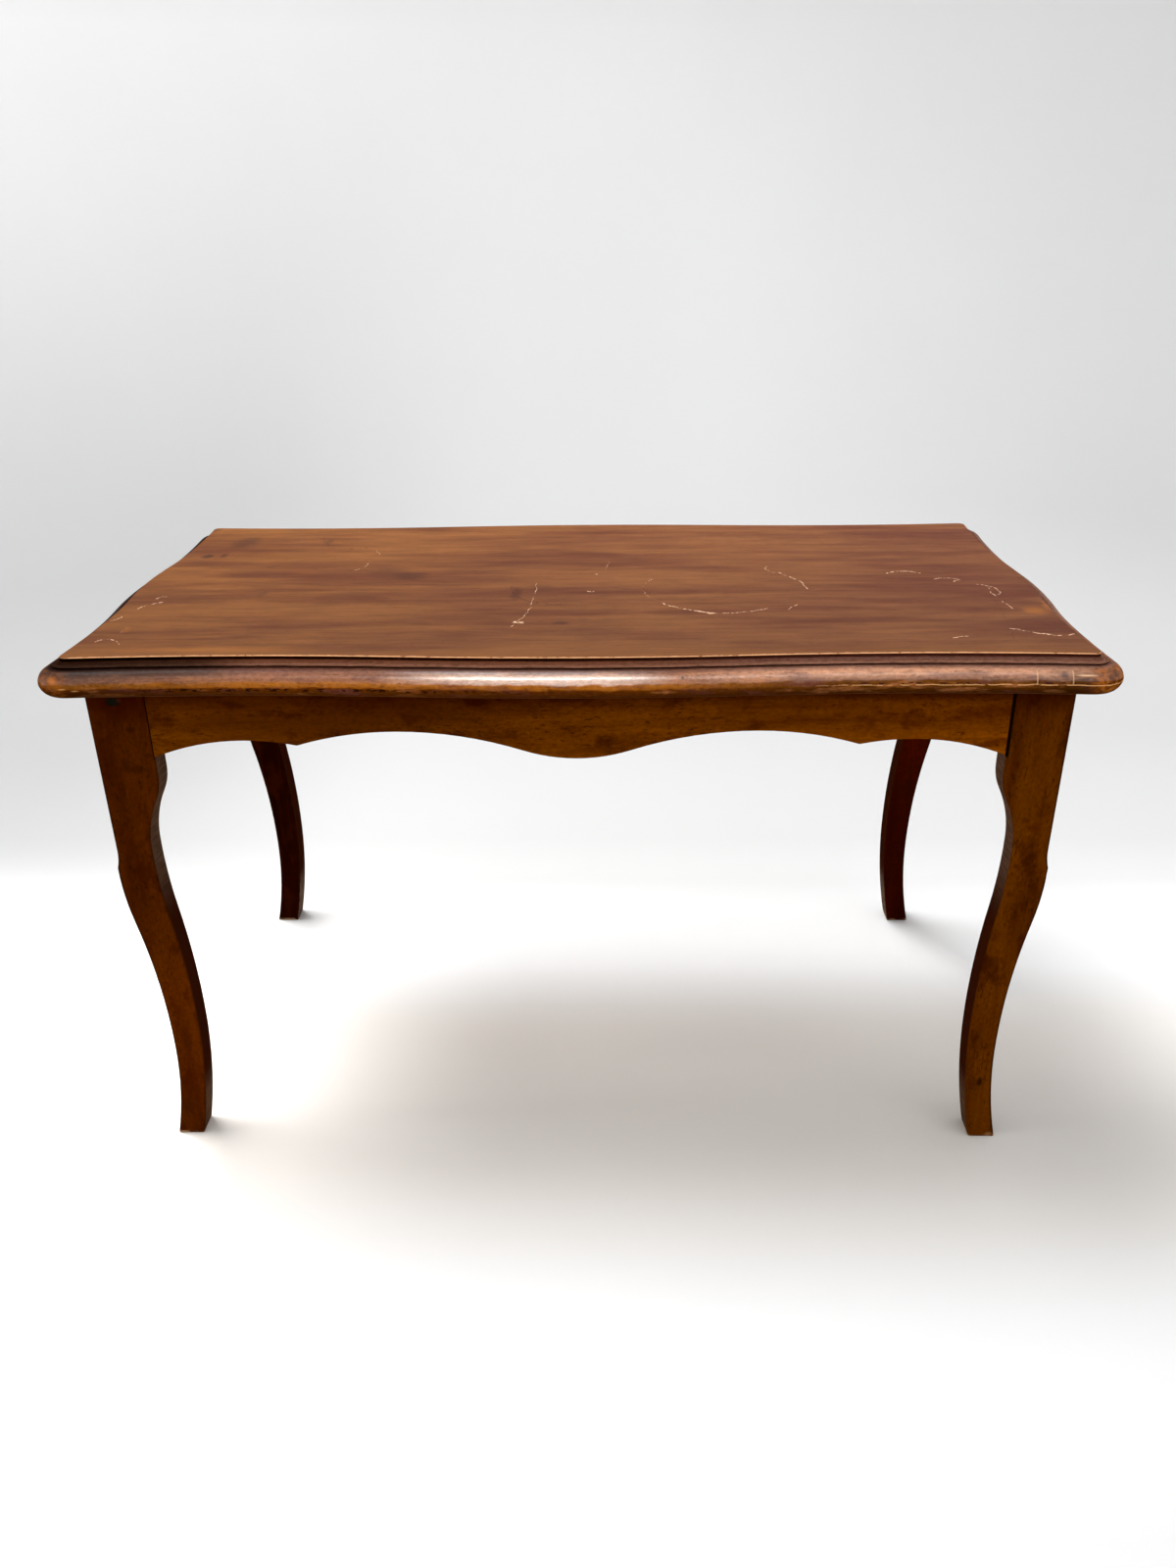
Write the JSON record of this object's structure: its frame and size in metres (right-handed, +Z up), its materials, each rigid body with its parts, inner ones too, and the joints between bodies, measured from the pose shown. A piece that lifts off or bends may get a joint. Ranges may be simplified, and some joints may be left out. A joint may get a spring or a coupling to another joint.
{
  "type": "coffee table",
  "caption": "Low rectangular wooden coffee table with a serpentine moulded top, scalloped aprons and slender curved legs sawn from board.",
  "frame": {"origin": "on the floor, under the middle of the top", "axes": "+X along the long side to the right, +Y to the back, +Z up"},
  "size_m": [0.8574, 0.477, 0.48],
  "materials": {
    "stained_top": "semi-gloss stained and worn",
    "stained_frame": "satin stained",
    "inner_wood": "sawn and unfinished",
    "screw_steel": "plain"
  },
  "bodies": {
    "root": {"top_board_front": "stained_top", "top_board_front_middle": "stained_top", "top_board_centre": "stained_top", "top_board_back_middle": "stained_top", "top_board_back": "stained_top", "leg_front_left": "stained_frame", "corner_block_front_left": "inner_wood", "dowels_front_left": "inner_wood", "button_front_left": "inner_wood", "button_left_front": "inner_wood", "leg_front_right": "stained_frame", "corner_block_front_right": "inner_wood", "dowels_front_right": "inner_wood", "button_front_right": "inner_wood", "button_right_front": "inner_wood", "leg_back_left": "stained_frame", "corner_block_back_left": "inner_wood", "dowels_back_left": "inner_wood", "button_back_left": "inner_wood", "button_left_back": "inner_wood", "leg_back_right": "stained_frame", "corner_block_back_right": "inner_wood", "dowels_back_right": "inner_wood", "button_back_right": "inner_wood", "button_right_back": "inner_wood", "apron_front": "stained_frame", "apron_back": "stained_frame", "apron_left": "stained_frame", "apron_right": "stained_frame", "corner_block_screws": "screw_steel", "top_screws": "screw_steel", "button_screws": "screw_steel"}
  },
  "joints": []
}
